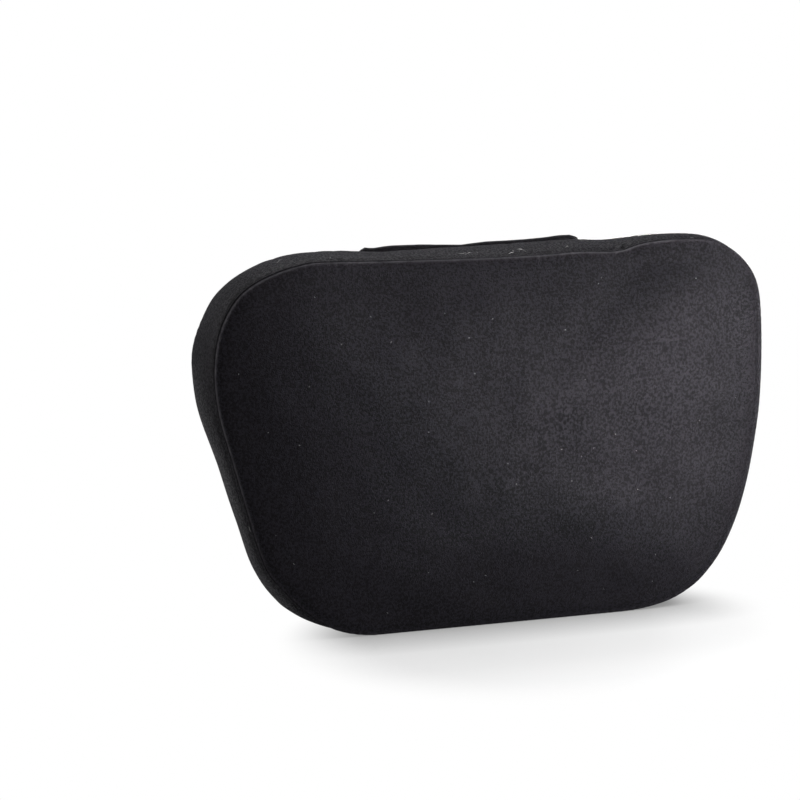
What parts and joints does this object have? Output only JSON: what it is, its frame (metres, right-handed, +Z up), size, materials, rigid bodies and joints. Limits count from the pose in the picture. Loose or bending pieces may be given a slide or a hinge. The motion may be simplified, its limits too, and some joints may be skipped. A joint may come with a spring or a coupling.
{
  "type": "car neck pillow",
  "caption": "Stuffed box cushion in black suede fabric with round shoulders, narrower at its base, and a wide flap at the back that hangs over a headrest.",
  "frame": {"origin": "on the floor, under the middle of the bounding box, with the pillow standing on its bottom edge", "axes": "+X along the long side, to the right as seen from the front; the front faces -Y; +Z up"},
  "size_m": [0.408, 0.0962, 0.2635],
  "materials": {
    "suede": "short soft nap, matt with a faint sheen",
    "filling": "white polyester fibre",
    "hook_tape": "fine nylon hooks",
    "loop_tape": "brushed nylon loops"
  },
  "bodies": {
    "root": {"front_panel": "suede", "back_panel": "suede", "side_band": "suede", "hanging_flap": "suede", "inner_cushion": "filling", "hook_strip": "hook_tape", "loop_strip": "loop_tape"}
  },
  "joints": []
}
